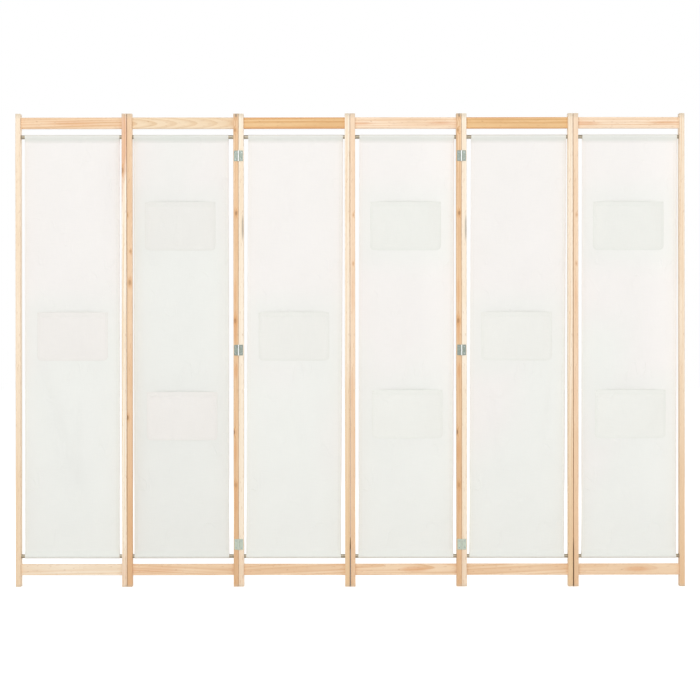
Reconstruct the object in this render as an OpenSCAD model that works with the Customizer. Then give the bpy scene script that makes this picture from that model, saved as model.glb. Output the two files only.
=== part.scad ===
// Folding screen: panels of a wooden frame with a fabric infill held on two rods, joined by butt hinges
// that lie on the back and on the front in turn, so that the panels fold up like a concertina.
// The screen stands unfolded along X, with its front towards -Y and the floor at z = 0. It stands as such
// a screen is set up, with each panel a little out of line, so that the joints with their hinges on the
// back come forward and open a thin wedge between their posts.

/* [Panels] */
// Number of panels in the row
panel_count = 6; // [2:1:8]
// Width of a panel over its two posts
panel_w = 400; // [320:0.5:600]
// Height of the posts, which is the height of the screen
panel_h = 1700; // [1200:5:2200]
// Gap between the posts of two neighbouring panels when the screen is pulled quite flat
panel_gap = 0.4; // [0.3:0.1:2]
// Angle of each panel out of line, one way and the other in turn
zigzag = 0.5; // [0:0.1:5]

/* [Posts] */
// Width of a post across the panel
post_w = 18; // [17:0.5:30]
// Depth of a post from front to back
post_d = 40; // [30:1:60]
// Radius of the eased long edges of posts and rails
edge_r = 1; // [0.5:0.1:2]

/* [Rails] */
// Height of a rail
rail_h = 40; // [35:1:60]
// Thickness of a rail from front to back
rail_t = 18; // [14:0.5:28]
// Distance from the top of the posts down to the upper rail
top_rail_drop = 13; // [0:1:40]
// Height of the lower rail above the floor
bottom_rail_rise = 40.5; // [10:0.5:60]
// Length of the stub tenon on each end of a rail
tenon_l = 12; // [8:0.5:13]
// Height of the tenon
tenon_h = 28; // [20:1:32]
// Thickness of the tenon
tenon_t = 8; // [5:0.5:12]
// Glue gap all round a tenon in its mortise
tenon_play = 0.1; // [0.05:0.01:0.2]
// Glue space at the bottom of a mortise
mortise_space = 0.5; // [0.2:0.1:1]

/* [Rods] */
// Outer diameter of the steel tube that carries the fabric
rod_d = 14; // [10:0.5:18]
// Wall of the tube
rod_wall = 1; // [0.6:0.1:1.5]
// Distance from the upper rail down to the axis of the upper rod
top_rod_drop = 30; // [25:0.5:60]
// Distance from the lower rail up to the axis of the lower rod
bottom_rod_rise = 28; // [25:0.5:60]
// Depth of the blind hole that a rod end sits in
rod_seat = 9; // [6:0.5:12]
// Radial clearance of a rod in its hole
rod_play = 0.1; // [0.05:0.01:0.3]
// Clearance at each end of a rod
rod_end_play = 0.5; // [0.2:0.1:1]

/* [Fabric] */
// Free gap on each side between the fabric and a post, when the fabric hangs in the middle
fabric_side_gap = 11.75; // [6:0.25:40]
// Thickness of the fabric with its nap
fabric_t = 1.2; // [0.8:0.1:2]
// Clearance between a rod and the sleeve round it
sleeve_play = 0.3; // [0.2:0.1:0.6]
// Distance from a rod's axis to the stitch line that closes its sleeve
sleeve_drop = 21; // [18:1:30]
// Width of the turned hem along each side
side_hem_w = 13; // [8:1:25]
// Extra thickness of the turned hem, on the back
side_hem_t = 0.5; // [0.3:0.1:1]

/* [Pockets] */
// Width of a pocket
pocket_w = 253; // [150:1:260]
// Height of a pocket
pocket_h = 174; // [120:1:220]
// Radius of the lower corners of a pocket
pocket_corner_r = 16; // [10:1:40]
// How far the middle of a pocket's mouth stands off the fabric
pocket_bulge = 9; // [7:0.5:14]
// Thickness of a pocket's fabric
pocket_t = 1.2; // [0.8:0.1:2]

/* [Hinges] */
// Height of a hinge
hinge_h = 38; // [30:1:60]
// Width of a leaf from the pin's axis to its outer edge
leaf_w = 16; // [14:0.5:17]
// Thickness of a leaf
leaf_t = 1.2; // [0.8:0.1:1.5]
// Radius of the leaf's outer corners
leaf_corner_r = 1.5; // [0.5:0.1:3]
// Number of knuckles, an odd number so that one leaf holds both ends of the pin
knuckle_count = 5; // [3:2:7]
// Outer diameter of the barrel
barrel_d = 5; // [4.5:0.1:6]
// Clearance between the barrel and what lies behind or beside it
barrel_play = 0.3; // [0.2:0.05:0.5]
// Gap between two knuckles along the pin
knuckle_gap = 0.2; // [0.1:0.05:0.4]
// Distance from each end of a post to the middle of its outer hinge
hinge_end = 152; // [130:1:250]
// Number of hinges on each joint between two panels
hinge_count = 3; // [2:1:5]

/* [Hinge pins] */
// Diameter of a hinge pin
pin_d = 2.8; // [2:0.1:3.2]
// Radial clearance of the pin in the knuckles
pin_play = 0.05; // [0.02:0.01:0.1]
// Diameter of the pin's heads
pin_head_d = 4.4; // [3.8:0.1:4.4]
// Thickness of the pin's heads
pin_head_h = 0.8; // [0.5:0.1:1.5]
// End float of the pin between its heads
pin_float = 0.1; // [0.05:0.05:0.3]

/* [Hinge screws] */
// Diameter of the screw's shank
screw_d = 3; // [2.5:0.1:3.5]
// Diameter of the countersunk head
screw_head_d = 5.4; // [5:0.1:6]
// Thickness of the leaf under the deepest part of the head
screw_land = 0.1; // [0.05:0.05:0.3]
// Length of the screw
screw_l = 15; // [10:1:18]
// Width of the driver slot across the head
screw_slot_w = 0.8; // [0.6:0.1:1]
// Depth of the driver slot
screw_slot_depth = 0.6; // [0.4:0.1:0.8]
// Clearance round a screw in its pilot hole and in the leaf's hole, and round its head in the leaf
screw_play = 0.05; // [0.02:0.01:0.1]
// Distance between the two screws of a leaf
screw_spacing = 24; // [18:1:26]

/* [Hidden] */
// Places of the fabric between the posts, as shares of the gap on each side of it, panel by panel
fabric_shift_shares = [0.17, -0.5, 0.05, 0.16, 0.17, 0.21];
// Heights of the middles of the pockets, as shares of the fabric's height, panel by panel, lowest pocket first
pocket_height_shares = [[0.524], [0.336, 0.784], [0.524], [0.34, 0.784], [0.524], [0.34, 0.784]];
// Sideways places of the pockets, as shares of the free fabric beside them
pocket_shift_shares = [[0.02], [0.05, -0.1], [-0.05], [0.07, -0.04], [-0.08], [0.1, -0.05]];
// Grid lines across a pocket, as shares of its half width; the outer strip is sewn down flat
pocket_seam_share = 0.94;
pocket_column_shares = [-1, -pocket_seam_share, -0.8, -0.55, -0.28, 0, 0.28, 0.55, 0.8, pocket_seam_share, 1];
// Grid lines up a pocket, as shares of its height; the lowest strip is sewn down flat
pocket_foot_share = 0.045;
pocket_row_shares = [0, 0.02, pocket_foot_share, 0.08, 0.125, 0.25, 0.4, 0.6, 0.8, 1];
// Colours
wood = [0.93, 0.81, 0.68];
cream = [0.95, 0.94, 0.92];
zinc = [0.66, 0.70, 0.69];
steel = [0.62, 0.58, 0.54];

$fn = 48;
// How far a cutting shape runs past what it cuts
overrun = edge_r;
pitch = panel_w + panel_gap;
inner_w = panel_w - 2 * post_w;
fabric_w = inner_w - 2 * fabric_side_gap;
top_rail_z = panel_h - top_rail_drop - rail_h;
top_rod_z = top_rail_z - top_rod_drop;
bottom_rod_z = bottom_rail_rise + rail_h + bottom_rod_rise;
rod_r = rod_d / 2;
sleeve_inner_r = rod_r + sleeve_play;
sleeve_outer_r = sleeve_inner_r + fabric_t;
fabric_low_z = bottom_rod_z - sleeve_outer_r;
fabric_high_z = top_rod_z + sleeve_outer_r;
barrel_r = barrel_d / 2;
// Distance from a post's face out to the axis of its hinges
axis_out = barrel_r + barrel_play;
knuckle_pitch = hinge_h / knuckle_count;
screw_hole_r = screw_d / 2 + screw_play;
leaf_hole_r = screw_hole_r + screw_play;
countersink_r = screw_head_d / 2 + screw_play;
countersink_h = leaf_t - screw_land;

function panel_part(i, part) = str("panel_", i, "_", part);
function hinge_part(j, part) = str("hinge_", j, "_", j + 1, "_", part);

// Distance of the hinges' axes from the middle of a panel's depth
hinge_y = post_d / 2 + axis_out;
// Distance from the middle of one panel to the middle of the next
step = pitch * cos(zigzag) + 2 * hinge_y * sin(zigzag);
// Side that the hinges of joint j, between panels j and j + 1, lie on: 1 is the back, -1 the front
function hinge_side(j) = j % 2 == 1 ? 1 : -1;

// Puts what is drawn flat round the middle of a panel at its place in the screen
module in_panel(i) {
    translate([(i - (panel_count + 1) / 2) * step, 0, 0])
        rotate([0, 0, i % 2 == 1 ? -zigzag : zigzag])
            children();
}

function hinge_zs() = [for (k = [0:hinge_count - 1])
    hinge_end + k * (panel_h - 2 * hinge_end) / (hinge_count - 1)];
function screw_zs() = [for (z = hinge_zs()) each [z - screw_spacing / 2, z + screw_spacing / 2]];
// Distance of a leaf's screws from the pin's axis
screw_x = (barrel_r + barrel_play + leaf_w) / 2;

// Flat shape with its four corners rounded, centred
module rounded_rectangle(w, h, r) {
    square([w - 2 * r, h], center = true);
    square([w, h - 2 * r], center = true);
    for (x = [-1, 1], y = [-1, 1])
        translate([x * (w / 2 - r), y * (h / 2 - r)]) circle(r);
}

// Screw holes of one leaf's hinges in a post, whose face is turned to -Y at y = 0
module pilot_holes() {
    for (z = screw_zs())
        translate([0, -overrun, z]) rotate([-90, 0, 0])
            cylinder(h = screw_l - leaf_t + screw_play + overrun, r = screw_hole_r);
}

// A post centred on its own axis, with its inner side turned to +X; side is the face with hinges, 0 for none
module post(side) {
    difference() {
        linear_extrude(panel_h) rounded_rectangle(post_w, post_d, edge_r);
        for (z = [bottom_rail_rise, top_rail_z])
            translate([post_w / 2 - tenon_l - mortise_space, -tenon_t / 2 - tenon_play,
                    z + (rail_h - tenon_h) / 2 - tenon_play])
                cube([tenon_l + mortise_space + overrun, tenon_t + 2 * tenon_play, tenon_h + 2 * tenon_play]);
        for (z = [bottom_rod_z, top_rod_z])
            translate([post_w / 2 - rod_seat, 0, z]) rotate([0, 90, 0])
                cylinder(h = rod_seat + overrun, r = rod_r + rod_play);
        if (side != 0)
            mirror([0, side > 0 ? 1 : 0, 0])
                translate([screw_x - (panel_gap + post_w) / 2, -post_d / 2, 0]) pilot_holes();
    }
}

module left_post(i) {
    color(wood) in_panel(i)
        translate([-(panel_w - post_w) / 2, 0, 0])
            post(i > 1 ? hinge_side(i - 1) : 0);
}

module right_post(i) {
    color(wood) in_panel(i)
        translate([(panel_w - post_w) / 2, 0, 0])
            mirror([1, 0, 0]) post(i < panel_count ? hinge_side(i) : 0);
}

// A rail from post to post with a stub tenon on each end, its lower face at z = 0
module rail() {
    translate([0, 0, rail_h / 2]) {
        translate([-inner_w / 2, 0, 0]) rotate([90, 0, 90])
            linear_extrude(inner_w) rounded_rectangle(rail_t, rail_h, edge_r);
        cube([inner_w + 2 * tenon_l, tenon_t, tenon_h], center = true);
    }
}

module rails(i) {
    color(wood) in_panel(i)
        for (z = [bottom_rail_rise, top_rail_z])
            translate([0, 0, z]) rail();
}

// The two steel tubes that carry the fabric, held in the posts
module rods(i) {
    half_l = inner_w / 2 + rod_seat - rod_end_play;
    color(steel) in_panel(i)
        for (z = [bottom_rod_z, top_rod_z])
            translate([-half_l, 0, z]) rotate([0, 90, 0]) difference() {
                cylinder(h = 2 * half_l, r = rod_r);
                translate([0, 0, -overrun])
                    cylinder(h = 2 * (half_l + overrun), r = rod_r - rod_wall);
            }
}

// Drop-shaped outline round a rod, which comes to a point at the stitch line below it
module drop_outline(r, point_w) {
    lean = acos(r / sleeve_drop);
    circle(r);
    polygon([
        [-r * sin(lean), -r * cos(lean)],
        [r * sin(lean), -r * cos(lean)],
        [point_w / 2, -sleeve_drop],
        [-point_w / 2, -sleeve_drop]]);
}

module sleeve_outline() {
    difference() {
        drop_outline(sleeve_outer_r, fabric_t);
        difference() {
            drop_outline(sleeve_inner_r, 0);
            translate([0, -sleeve_drop]) square(2 * fabric_t, center = true);
        }
    }
}

// The infill: one sheet with a sleeve round each rod and a turned hem down each side
module fabric(i) {
    sheet_low_z = bottom_rod_z + sleeve_drop;
    sheet_high_z = top_rod_z - sleeve_drop;
    color(cream) in_panel(i)
        translate([fabric_x(i) - fabric_w / 2, 0, 0]) {
            rotate([90, 0, 90]) linear_extrude(fabric_w) {
                translate([0, top_rod_z]) sleeve_outline();
                translate([0, bottom_rod_z]) mirror([0, 1]) sleeve_outline();
                translate([-fabric_t / 2, sheet_low_z - fabric_t])
                    square([fabric_t, sheet_high_z - sheet_low_z + 2 * fabric_t]);
            }
            for (x = [0, fabric_w - side_hem_w])
                translate([x, 0, sheet_low_z])
                    cube([side_hem_w, fabric_t / 2 + side_hem_t, sheet_high_z - sheet_low_z]);
        }
}

// Middle of the fabric, from the middle of its panel
function fabric_x(i) = fabric_shift_shares[(i - 1) % len(fabric_shift_shares)] * fabric_side_gap;

// Half the width of a pocket at height z, drawn in round its lower corners
function pocket_half_w(z) = pocket_w / 2
    - pocket_corner_r * (1 - sqrt(1 - pow(1 - min(z / pocket_corner_r, 1), 2)));
// How far a pocket's lining stands off the fabric: nothing along the seams, most at the middle of the mouth
function pocket_off(across, up) = pocket_bulge
    * (1 - pow(min(abs(across) / pocket_seam_share, 1), 4))
    * (1 - pow(1 - max(up - pocket_foot_share, 0) / (1 - pocket_foot_share), 3));

// A pocket: a thin shell open at the top, its seams on y = 0 and the middle of its foot at the origin
module pocket() {
    columns = len(pocket_column_shares);
    rows = len(pocket_row_shares);
    layer = columns * rows;
    skin = [for (t = [pocket_t, 0], up = pocket_row_shares, across = pocket_column_shares)
        [across * pocket_half_w(up * pocket_h), -t - pocket_off(across, up), up * pocket_h]];
    // Corners of the outline, in order round the grid
    rim = concat(
        [for (c = [0:columns - 1]) c],
        [for (r = [1:rows - 1]) r * columns + columns - 1],
        [for (c = [columns - 2:-1:0]) (rows - 1) * columns + c],
        [for (r = [rows - 2:-1:1]) r * columns]);
    outer = [for (r = [0:rows - 2], c = [0:columns - 2]) let (a = r * columns + c)
        each [[a, a + columns, a + 1], [a + 1, a + columns, a + columns + 1]]];
    edge = [for (k = [0:len(rim) - 1]) let (a = rim[k], b = rim[(k + 1) % len(rim)])
        each [[a, b, a + layer], [b, b + layer, a + layer]]];
    inner = [for (f = outer) [f[0] + layer, f[2] + layer, f[1] + layer]];
    polyhedron(skin, concat(outer, inner, edge));
}

module pockets(i) {
    heights = pocket_height_shares[(i - 1) % len(pocket_height_shares)];
    shifts = pocket_shift_shares[(i - 1) % len(pocket_shift_shares)];
    color(cream) in_panel(i)
        for (k = [0:len(heights) - 1])
            translate([
                    fabric_x(i) + shifts[k] * (fabric_w - pocket_w) / 2,
                    -fabric_t / 2,
                    fabric_low_z + heights[k] * (fabric_high_z - fabric_low_z) - pocket_h / 2])
                pocket();
}

// A leaf with its pin's axis on Z and its post's face at y = axis_out; own is 0 for the knuckles at both ends
module leaf(own) {
    plate_w = leaf_w - barrel_play;
    difference() {
        union() {
            translate([barrel_play, axis_out, 0]) rotate([90, 0, 0]) linear_extrude(leaf_t) {
                translate([plate_w / 2, 0]) rounded_rectangle(plate_w, hinge_h, leaf_corner_r);
                translate([0, -hinge_h / 2]) square([plate_w / 2, hinge_h]);
            }
            for (k = [own:2:knuckle_count - 1])
                translate([0, 0, k * knuckle_pitch - (hinge_h - knuckle_gap) / 2])
                    cylinder(h = knuckle_pitch - knuckle_gap, r = barrel_r);
        }
        for (k = [1 - own:2:knuckle_count - 1])
            translate([-overrun, -barrel_r, k * knuckle_pitch - (hinge_h + knuckle_gap) / 2])
                cube([overrun + barrel_r + barrel_play, barrel_r + axis_out + overrun,
                    knuckle_pitch + knuckle_gap]);
        cylinder(h = hinge_h + 2 * overrun, r = pin_d / 2 + pin_play, center = true);
        for (z = [-1, 1])
            translate([screw_x, axis_out, z * screw_spacing / 2]) rotate([90, 0, 0]) {
                translate([0, 0, -overrun]) cylinder(h = leaf_t + 2 * overrun, r = leaf_hole_r);
                translate([0, 0, leaf_t - countersink_h])
                    cylinder(h = countersink_h, r1 = screw_hole_r, r2 = countersink_r);
            }
    }
}

// Puts children, drawn round a pin's axis, at each hinge of joint j as a part of panel i
module at_hinges(j, i) {
    in_panel(i)
        for (z = hinge_zs())
            translate([(i == j ? 1 : -1) * pitch / 2, hinge_side(j) * hinge_y, z])
                mirror([0, hinge_side(j) > 0 ? 1 : 0, 0])
                    children();
}

module left_leaves(j) {
    color(zinc) at_hinges(j, j) mirror([1, 0, 0]) leaf(0);
}

module right_leaves(j) {
    color(zinc) at_hinges(j, j + 1) leaf(1);
}

// The pins, with a head staked on each end
module pins(j) {
    half_l = hinge_h / 2 + pin_float;
    color(zinc) at_hinges(j, j) {
        cylinder(h = 2 * half_l, r = pin_d / 2, center = true);
        for (end = [0, 1])
            mirror([0, 0, end]) translate([0, 0, half_l])
                cylinder(h = pin_head_h, r1 = pin_head_d / 2, r2 = pin_head_d / 2 - pin_head_h / 2);
    }
}

// A countersunk wood screw along +Y, the top of its head at y = 0, on the leaf's outer face
module screw() {
    shank_l = screw_l - screw_d / 2;
    difference() {
        rotate([-90, 0, 0]) {
            cylinder(h = countersink_h, r1 = screw_head_d / 2, r2 = screw_d / 2);
            cylinder(h = shank_l, r = screw_d / 2);
            translate([0, 0, shank_l]) cylinder(h = screw_l - shank_l, r1 = screw_d / 2, r2 = 0);
        }
        translate([-screw_head_d / 2 - overrun, -overrun, -screw_slot_w / 2])
            cube([screw_head_d + 2 * overrun, screw_slot_depth + overrun, screw_slot_w]);
    }
}

// The screws of panel i's leaves, on its left side where toward is 1 and on its right where it is -1
module leaf_screws(j, i, toward) {
    at_hinges(j, i)
        for (z = [-1, 1])
            translate([toward * screw_x, axis_out - leaf_t, z * screw_spacing / 2]) screw();
}

module hinge_screws(i) {
    color(zinc) {
        if (i > 1) leaf_screws(i - 1, i, 1);
        if (i < panel_count) leaf_screws(i, i, -1);
    }
}

for (i = [1:panel_count]) {
    left_post(i);
    right_post(i);
    rails(i);
    rods(i);
    fabric(i);
    pockets(i);
    hinge_screws(i);
}
for (j = [1:panel_count - 1]) {
    left_leaves(j);
    right_leaves(j);
    pins(j);
}
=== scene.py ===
"""Looks of a folding screen of six panels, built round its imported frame. Lengths are in metres."""

import math

import bmesh
import bpy
from mathutils import Matrix, Vector, noise


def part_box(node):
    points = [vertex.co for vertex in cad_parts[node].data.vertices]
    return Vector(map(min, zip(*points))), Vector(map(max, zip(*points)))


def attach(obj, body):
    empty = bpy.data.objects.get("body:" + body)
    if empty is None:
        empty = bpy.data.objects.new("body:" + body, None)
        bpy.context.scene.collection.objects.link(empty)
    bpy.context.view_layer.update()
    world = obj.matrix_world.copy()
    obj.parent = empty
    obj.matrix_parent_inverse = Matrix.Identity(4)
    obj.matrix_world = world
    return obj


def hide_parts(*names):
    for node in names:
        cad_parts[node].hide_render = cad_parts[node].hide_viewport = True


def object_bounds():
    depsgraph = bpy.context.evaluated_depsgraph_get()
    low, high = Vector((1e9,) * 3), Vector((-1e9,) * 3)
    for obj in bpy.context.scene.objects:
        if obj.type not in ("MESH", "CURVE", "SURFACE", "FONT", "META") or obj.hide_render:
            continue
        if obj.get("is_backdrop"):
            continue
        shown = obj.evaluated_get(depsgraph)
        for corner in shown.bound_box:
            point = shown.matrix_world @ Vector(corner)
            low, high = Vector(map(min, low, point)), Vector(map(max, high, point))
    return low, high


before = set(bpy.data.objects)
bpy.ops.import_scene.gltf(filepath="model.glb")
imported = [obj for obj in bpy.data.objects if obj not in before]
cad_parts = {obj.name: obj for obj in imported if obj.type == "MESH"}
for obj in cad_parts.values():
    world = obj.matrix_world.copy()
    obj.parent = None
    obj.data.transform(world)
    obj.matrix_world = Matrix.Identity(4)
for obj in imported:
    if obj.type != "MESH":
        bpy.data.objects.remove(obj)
cad_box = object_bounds()
scene = bpy.context.scene
MM = 0.001
PANELS = range(1, 7)
HEIGHT = cad_box[1].z


# Places read from the frame

def place_of(i):
    """Panel i's own axes, read from its posts: its middle on the floor, X along the panel, Z up."""
    left, right = (sum(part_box(f"panel_{i}_{side}_post"), Vector()) / 2 for side in ("left", "right"))
    across, middle = right - left, (left + right) / 2
    turn = math.atan2(across.y, across.x)
    return Matrix.Translation((middle.x, middle.y, 0)) @ Matrix.Rotation(turn, 4, "Z")


PLACES = {i: place_of(i) for i in PANELS}


def own_points(node, i):
    """The points of a CAD node in panel i's own axes."""
    back = PLACES[i].inverted()
    return [back @ v.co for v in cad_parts[node].data.vertices]


def extent(points):
    """Lowest and highest corner of some points."""
    return (Vector([min(p[k] for p in points) for k in range(3)]),
            Vector([max(p[k] for p in points) for k in range(3)]))


# Camera

VIEW_DISTANCE = 8.0  # from the camera to the front faces of the posts
VIEW_WIDTH = 2.5133  # what the frame's 700 pixels take in at those faces
SENSOR = 36.0
camera = bpy.data.objects.new("camera", bpy.data.cameras.new("camera"))
scene.collection.objects.link(camera)
camera.location = (-0.0004, cad_box[0].y - VIEW_DISTANCE, HEIGHT / 2)
camera.rotation_euler = (math.radians(90), math.radians(0.06), 0)
camera.data.sensor_width = SENSOR
camera.data.lens = SENSOR * VIEW_DISTANCE / VIEW_WIDTH
camera.data.clip_end = 200
scene.camera = camera


# Materials

def srgb(text):
    """A colour as a shader takes it, from its six hexadecimal digits."""
    parts = [int(text[k:k + 2], 16) / 255 for k in (0, 2, 4)]
    return tuple(c / 12.92 if c < 0.04045 else ((c + 0.055) / 1.055) ** 2.4 for c in parts) + (1,)


class Tree:
    """The nodes of a material or a world, with short calls that mostly give back a socket."""

    def __init__(self, owner, shader="Principled BSDF"):
        owner.use_nodes = True
        self.owner = owner
        self.nodes, self.links = owner.node_tree.nodes, owner.node_tree.links
        self.shader = self.nodes[shader]

    def put(self, socket, value):
        """Links a socket to another one, or gives it a value."""
        if isinstance(value, bpy.types.NodeSocket):
            self.links.new(value, socket)
        else:
            socket.default_value = value

    def add(self, kind, inputs=(), **settings):
        node = self.nodes.new(kind)
        for key, value in settings.items():
            setattr(node, key, value)
        for key, value in dict(inputs).items():
            self.put(node.inputs[key], value)
        return node

    def math(self, operation, *values):
        return self.add("ShaderNodeMath", enumerate(values), operation=operation).outputs[0]

    def times(self, *values):
        made = values[0]
        for value in values[1:]:
            made = self.math("MULTIPLY", made, value)
        return made

    def span(self, value, low, high, to_low=0.0, to_high=1.0, kind="SMOOTHSTEP"):
        """value carried from low..high to to_low..to_high, and held there beyond."""
        return self.add("ShaderNodeMapRange", enumerate((value, low, high, to_low, to_high)),
                        interpolation_type=kind).outputs[0]

    def vector(self, x, y, z):
        return self.add("ShaderNodeCombineXYZ", enumerate((x, y, z))).outputs[0]

    def split(self, vector):
        return self.add("ShaderNodeSeparateXYZ", {0: vector}).outputs

    def mix(self, factor, a, b, blend="MIX"):
        return self.add("ShaderNodeMix", {0: factor, 6: a, 7: b},
                        data_type="RGBA", blend_type=blend).outputs[2]

    def shade(self, colour, amount):
        """colour times a number that differs over the surface."""
        return self.mix(1.0, colour, self.vector(amount, amount, amount), "MULTIPLY")

    def noise(self, vector, scale, detail=2.0):
        return self.add("ShaderNodeTexNoise", {
            "Vector": vector, "Scale": scale, "Detail": detail}).outputs[0]

    def away(self, x, y, spot, size):
        """How far a place on a plane is from a spot, next to the spot's own half length and half width."""
        off = [self.math("DIVIDE", self.math("SUBTRACT", c, middle), reach)
               for c, middle, reach in zip((x, y), spot, size)]
        return self.add("ShaderNodeVectorMath", {0: self.vector(*off, 0.0)}, operation="LENGTH").outputs[1]

    def own_coordinates(self, i=None, origin=(0, 0, 0)):
        """The place on the piece, in panel i's own axes from origin, or without a panel in the piece's."""
        coordinates = self.add("ShaderNodeTexCoord").outputs["Object"]
        if i is None:
            return coordinates
        back = Matrix.Translation([-c for c in origin]) @ PLACES[i].inverted()
        return self.add("ShaderNodeMapping", {"Vector": coordinates, "Location": back.to_translation(),
                                              "Rotation": back.to_euler()}).outputs[0]

    def facing(self, axis):
        """How squarely the surface faces along a world axis, from 0 to 1."""
        normal = self.split(self.add("ShaderNodeNewGeometry").outputs["True Normal"])[axis]
        return self.math("ABSOLUTE", normal)

    def bump(self, height, distance, strength=1.0):
        node = self.add("ShaderNodeBump", {"Height": height, "Distance": distance, "Strength": strength})
        self.links.new(node.outputs[0], self.shader.inputs["Normal"])

    def finish(self, **inputs):
        for key, value in inputs.items():
            self.put(self.shader.inputs[key.replace("_", " ")], value)
        return self.owner

    def seen(self):
        """1 for the camera and for what mirrors the surface or lets it through, and 0 for other rays."""
        rays = self.add("ShaderNodeLightPath").outputs
        either = self.math("MAXIMUM", rays["Is Camera Ray"], rays["Is Glossy Ray"])
        return self.math("MAXIMUM", either, rays["Is Transmission Ray"])


def new_material(name):
    return Tree(bpy.data.materials.new(name))


def dress(node, material):
    """Gives a CAD node its finished material."""
    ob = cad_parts[node]
    if not ob.material_slots:
        ob.data.materials.append(material)
    for slot in ob.material_slots:
        slot.material = material


# Pine. A tone is the colours of its early and its late wood
CREAM, IVORY = ("FEF3E2", "ECCDA2"), ("FBEBD5", "E7C397")
OAT, PEACH = ("F8E6CE", "E4BC90"), ("F9E1C6", "E1B486")
WHEAT, SAND = ("F1DABB", "DBB687"), ("F5D8B7", "DCAB7A")
TAN, HONEY = ("F0CEA7", "D19E6E"), ("EBC490", "D0985A")
RING_PITCH = 3.6 * MM
RING_WANDER = 13 * MM  # how far the rings stray sideways along the grain
KNOT_PUSH = 4 * MM  # how far a knot pushes the rings apart
FIBRE_SCALE, FIBRE_STRETCH = 700.0, 14.0  # of the noise across and along the grain
STREAK_SCALE, STREAK_STRETCH = 420.0, 60.0  # the same for the short dark resin streaks
RESIN, STREAK, KNOT_RIM, KNOT_CORE, HANDLED = map(srgb, ("D98F4F", "B57F4C", "D29556", "67432B", "C2986A"))
# The last two colours are painted shade in the seams between posts
GREY_ENDS, SEAM_SHADE, SEAM_FOOT_SHADE = map(srgb, ("C9BCA6", "B9763C", "5E3A12"))
GREY_TOP, GREY_FOOT = 22 * MM, 13 * MM  # how far the grey band at a post's top and the painted shade at its foot reach
FOOT_START = 0.62 * HEIGHT  # below it a post gets darker
BACK_HINGED, FRONT_HINGED = (1, 3, 5), (2, 4)  # joints
SHADED_FEET = (3, 5)  # joints with painted shade up the seam at the foot
SLIVER, SLIVER_SIZE = (1.29, 6 * MM), (42 * MM, 3.4 * MM)  # height and place across a post, and half of each


def pine(tree, along, across, deep, half, early, late, pith, knots=(), stains=(), seed=0.0):
    """Pine sawn with its grain along one axis. The rings lie round the pith, which passes the piece at
    (across, deep) and leans across and back. knots are (along, across, deep, radius, darkness), and stains
    of resin are (along, across, length, height, strength). Returns the colour."""
    slow = tree.vector(tree.math("MULTIPLY", along, 0.15), across, deep)
    moved = tree.add("ShaderNodeVectorMath", {0: slow, 1: (seed, seed * 2.7, -seed)}).outputs[0]
    wander = tree.math("SUBTRACT", tree.noise(moved, 9.0), 0.5)
    near, core = 0.0, 0.0
    for k_along, k_across, k_deep, radius, dark in knots:
        off = [tree.math("SUBTRACT", a, b)
               for a, b in ((along, k_along), (across, k_across), (deep, k_deep))]
        flat = tree.vector(tree.math("MULTIPLY", off[0], 0.5), off[1], off[2])
        length = tree.add("ShaderNodeVectorMath", {0: flat}, operation="LENGTH").outputs[1]
        away = tree.math("DIVIDE", length, radius)
        near = tree.math("MAXIMUM", near, tree.span(away, 3.0, 0.4))
        core = tree.math("MAXIMUM", core, tree.times(tree.span(away, 1.15, 0.5), dark))
    s = tree.math("SUBTRACT", tree.math("SUBTRACT", across, pith[0]), tree.times(along, pith[2]))
    s = tree.math("ADD", s, tree.times(wander, RING_WANDER))
    t = tree.math("SUBTRACT", tree.math("SUBTRACT", deep, pith[1]), tree.times(along, pith[3]))
    r = tree.math("SQRT", tree.math("ADD", tree.times(s, s), tree.times(t, t)))
    turns = tree.math("DIVIDE", tree.math("ADD", r, tree.times(near, KNOT_PUSH)), RING_PITCH)
    part = tree.math("FRACT", turns)
    year = tree.noise(tree.vector(tree.times(turns, 0.7), along, seed), 1.7)
    ring = tree.times(tree.span(part, 0.3, 0.85), tree.span(part, 1.0, 0.93),
                      tree.span(year, 0.3, 0.7, 0.25, 1.0))
    fibres, streak = (
        tree.noise(tree.vector(*(tree.times(c, f) for c, f in ((along, on), (across, by), (deep, by)))),
                   1.0, detail)
        for on, by, detail in ((FIBRE_STRETCH, FIBRE_SCALE, 3.0), (STREAK_STRETCH, STREAK_SCALE, 0.0)))
    colour = tree.mix(tree.times(ring, 0.75), early, late)
    colour = tree.mix(tree.span(tree.noise(moved, 22.0, 3.0), 0.4, 0.75, 0.0, 0.35), colour, late)
    for s_along, s_across, long, high, strength in stains:
        away = tree.away(along, across, (s_along, s_across), (long, high))
        away = tree.math("ADD", away, tree.times(wander, 1.2))
        colour = tree.mix(tree.span(away, 1.2, 0.3, 0.0, strength), colour, RESIN)
    colour = tree.shade(colour, tree.span(fibres, 0.25, 0.75, 0.965, 1.02))
    colour = tree.mix(tree.span(streak, 0.72, 0.8, 0.0, 0.35), colour, STREAK)
    if knots:
        colour = tree.mix(tree.times(near, 0.5), colour, KNOT_RIM)
        colour = tree.mix(core, colour, KNOT_CORE)
    # The arrises are a little handled
    edge = [tree.span(tree.math("ABSOLUTE", c), h - 2.5 * MM, h - 0.3 * MM)
            for c, h in zip((across, deep), half)]
    handled = tree.span(tree.noise(tree.vector(along, across, deep), 60.0), 0.35, 0.65, 0.05, 0.35)
    colour = tree.mix(tree.times(*edge, handled), colour, HANDLED)
    tree.bump(tree.math("ADD", tree.times(ring, 0.5), fibres), 0.12 * MM)
    rough = tree.math("SUBTRACT", tree.span(fibres, 0.2, 0.8, 0.5, 0.62), tree.times(ring, 0.08))
    tree.finish(Roughness=rough, Specular_IOR_Level=0.35)
    return colour


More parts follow.
